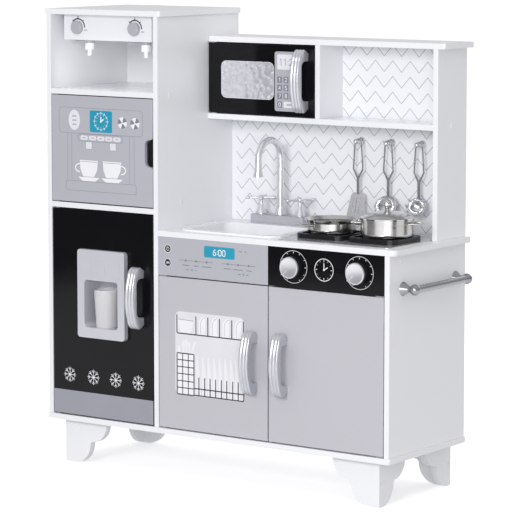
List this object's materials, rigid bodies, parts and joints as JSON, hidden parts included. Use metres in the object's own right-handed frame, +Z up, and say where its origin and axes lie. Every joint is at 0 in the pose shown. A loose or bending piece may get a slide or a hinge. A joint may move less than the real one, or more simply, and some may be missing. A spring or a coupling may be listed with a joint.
{
  "type": "toy kitchen",
  "caption": "Free-standing toy kitchen: fridge tower with ice dispenser, dishwasher, cupboard, sink, hob, microwave shelf, pots, utensils and a towel bar.",
  "frame": {"origin": "floor level under the middle of the whole kitchen, handles and towel bar included", "axes": "+Z up, +Y from the front (doors) to the back, +X to the right seen from the front"},
  "size_m": [0.945, 0.337, 1.01],
  "materials": {
    "white_board": "painted MDF, satin",
    "grey_board": "painted MDF, satin",
    "black_board": "painted MDF, gloss",
    "white_plastic": "moulded",
    "grey_plastic": "moulded, satin",
    "silver_plastic": "silver paint",
    "black_plastic": "moulded",
    "steel_look": "silver film",
    "window_film": "silver hammered film",
    "clear_plastic": "translucent",
    "steel": "polished",
    "chrome": "polished"
  },
  "bodies": {
    "kitchen": {"base_board": "white_board", "tower_left_panel": "white_board", "tower_right_panel": "white_board", "tower_top_board": "white_board", "niche_shelf": "white_board", "fridge_shelf": "white_board", "tower_back_panel": "white_board", "cabinet_right_panel": "white_board", "cabinet_divider": "white_board", "cabinet_back_panel": "white_board", "worktop": "white_board", "sink_basin": "white_plastic", "dishwasher_control_panel": "grey_board", "oven_control_panel": "black_board", "hutch_right_panel": "white_board", "hutch_top_board": "white_board", "hutch_shelf": "white_board", "hutch_divider": "white_board", "backsplash_panel": "white_board", "leg_front_left": "white_board", "leg_front_right": "white_board", "leg_rear_left": "white_board", "leg_rear_right": "white_board", "tap_box": "white_plastic", "faucet_block": "white_plastic", "hob_plate": "steel_look", "burner_grates": "black_plastic", "towel_bar": "silver_plastic", "utensil_pegs": "silver_plastic", "door_pivot_pins": "white_plastic", "magnet_catches": "white_plastic", "assembly_screws": "white_plastic"},
    "coffee_door": {"coffee_door": "grey_board"},
    "fridge_door": {"fridge_door": "black_board", "ice_dispenser_housing": "grey_plastic", "fridge_handle": "silver_plastic"},
    "dishwasher_door": {"dishwasher_door": "grey_board", "dishwasher_handle": "silver_plastic"},
    "cupboard_door": {"cupboard_door": "grey_board", "cupboard_handle": "silver_plastic"},
    "microwave_door": {"microwave_door": "black_board", "microwave_window": "window_film", "microwave_keypad": "grey_plastic", "microwave_handle": "silver_plastic"},
    "dial_left": {"dial_left": "chrome"},
    "dial_right": {"dial_right": "chrome"},
    "tap_lever_left": {"tap_lever_left": "chrome"},
    "tap_lever_right": {"tap_lever_right": "chrome"},
    "faucet_spout": {"faucet_spout": "silver_plastic"},
    "faucet_handle_left": {"faucet_handle_left": "silver_plastic"},
    "faucet_handle_right": {"faucet_handle_right": "silver_plastic"},
    "hob_knob_left": {"hob_knob_left": "silver_plastic"},
    "hob_knob_right": {"hob_knob_right": "silver_plastic"},
    "saucepan": {"saucepan": "steel"},
    "stew_pot": {"stew_pot": "steel"},
    "pot_lid": {"pot_lid": "steel"},
    "ice_cup": {"ice_cup": "clear_plastic"},
    "turner": {"turner": "silver_plastic"},
    "ladle": {"ladle": "silver_plastic"},
    "pasta_server": {"pasta_server": "silver_plastic"}
  },
  "joints": [
    {"name": "coffee_door_hinge", "type": "hinge", "parent": "kitchen", "child": "coffee_door", "pos_m": [-0.4435, -0.124, 0.704], "axis": [0, 0, -1], "range_deg": [0, 100]},
    {"name": "fridge_door_hinge", "type": "hinge", "parent": "kitchen", "child": "fridge_door", "pos_m": [-0.4435, -0.124, 0.34], "axis": [0, 0, -1], "range_deg": [0, 100]},
    {"name": "dishwasher_door_hinge", "type": "hinge", "parent": "kitchen", "child": "dishwasher_door", "pos_m": [-0.1475, -0.124, 0.276], "axis": [0, 0, -1], "range_deg": [0, 100]},
    {"name": "cupboard_door_hinge", "type": "hinge", "parent": "kitchen", "child": "cupboard_door", "pos_m": [0.4085, -0.124, 0.276], "axis": [0, 0, 1], "range_deg": [0, 100]},
    {"name": "microwave_door_hinge", "type": "hinge", "parent": "kitchen", "child": "microwave_door", "pos_m": [-0.1475, 0.058, 0.86], "axis": [0, 0, -1], "range_deg": [0, 85]},
    {"name": "dial_left_turn", "type": "hinge", "parent": "kitchen", "child": "dial_left", "pos_m": [-0.3945, -0.1075, 0.9695], "axis": [0, -1, 0], "continuous": true},
    {"name": "dial_right_turn", "type": "hinge", "parent": "kitchen", "child": "dial_right", "pos_m": [-0.2365, -0.1075, 0.9695], "axis": [0, -1, 0], "continuous": true},
    {"name": "tap_lever_left_swing", "type": "hinge", "parent": "kitchen", "child": "tap_lever_left", "pos_m": [-0.3945, -0.0665, 0.934], "axis": [0, 0, 1], "range_deg": [-45, 45]},
    {"name": "tap_lever_right_swing", "type": "hinge", "parent": "kitchen", "child": "tap_lever_right", "pos_m": [-0.2365, -0.0665, 0.934], "axis": [0, 0, 1], "range_deg": [-45, 45]},
    {"name": "faucet_swivel", "type": "hinge", "parent": "kitchen", "child": "faucet_spout", "pos_m": [-0.0025, 0.1075, 0.561], "axis": [0, 0, 1], "range_deg": [-90, 90]},
    {"name": "faucet_handle_left_turn", "type": "hinge", "parent": "kitchen", "child": "faucet_handle_left", "pos_m": [-0.0545, 0.1075, 0.561], "axis": [0, 0, 1], "continuous": true},
    {"name": "faucet_handle_right_turn", "type": "hinge", "parent": "kitchen", "child": "faucet_handle_right", "pos_m": [0.0495, 0.1075, 0.561], "axis": [0, 0, 1], "continuous": true},
    {"name": "hob_knob_left_turn", "type": "hinge", "parent": "kitchen", "child": "hob_knob_left", "pos_m": [0.1955, -0.1285, 0.4875], "axis": [0, -1, 0], "continuous": true},
    {"name": "hob_knob_right_turn", "type": "hinge", "parent": "kitchen", "child": "hob_knob_right", "pos_m": [0.3595, -0.1285, 0.4875], "axis": [0, -1, 0], "continuous": true},
    {"name": "saucepan_lift", "type": "slide", "parent": "kitchen", "child": "saucepan", "axis": [0, 0, 1], "range_m": [0, 0.08]},
    {"name": "stew_pot_lift", "type": "slide", "parent": "kitchen", "child": "stew_pot", "axis": [0, 0, 1], "range_m": [0, 0.08]},
    {"name": "pot_lid_lift", "type": "slide", "parent": "stew_pot", "child": "pot_lid", "axis": [0, 0, 1], "range_m": [0, 0.08]},
    {"name": "ice_cup_out", "type": "slide", "parent": "fridge_door", "child": "ice_cup", "axis": [0, -1, 0], "range_m": [0, 0.07]},
    {"name": "turner_off", "type": "slide", "parent": "kitchen", "child": "turner", "axis": [0, -0.6, 0.8], "range_m": [0, 0.036]},
    {"name": "ladle_off", "type": "slide", "parent": "kitchen", "child": "ladle", "axis": [0, -0.6, 0.8], "range_m": [0, 0.036]},
    {"name": "pasta_server_off", "type": "slide", "parent": "kitchen", "child": "pasta_server", "axis": [0, -0.6, 0.8], "range_m": [0, 0.036]}
  ]
}
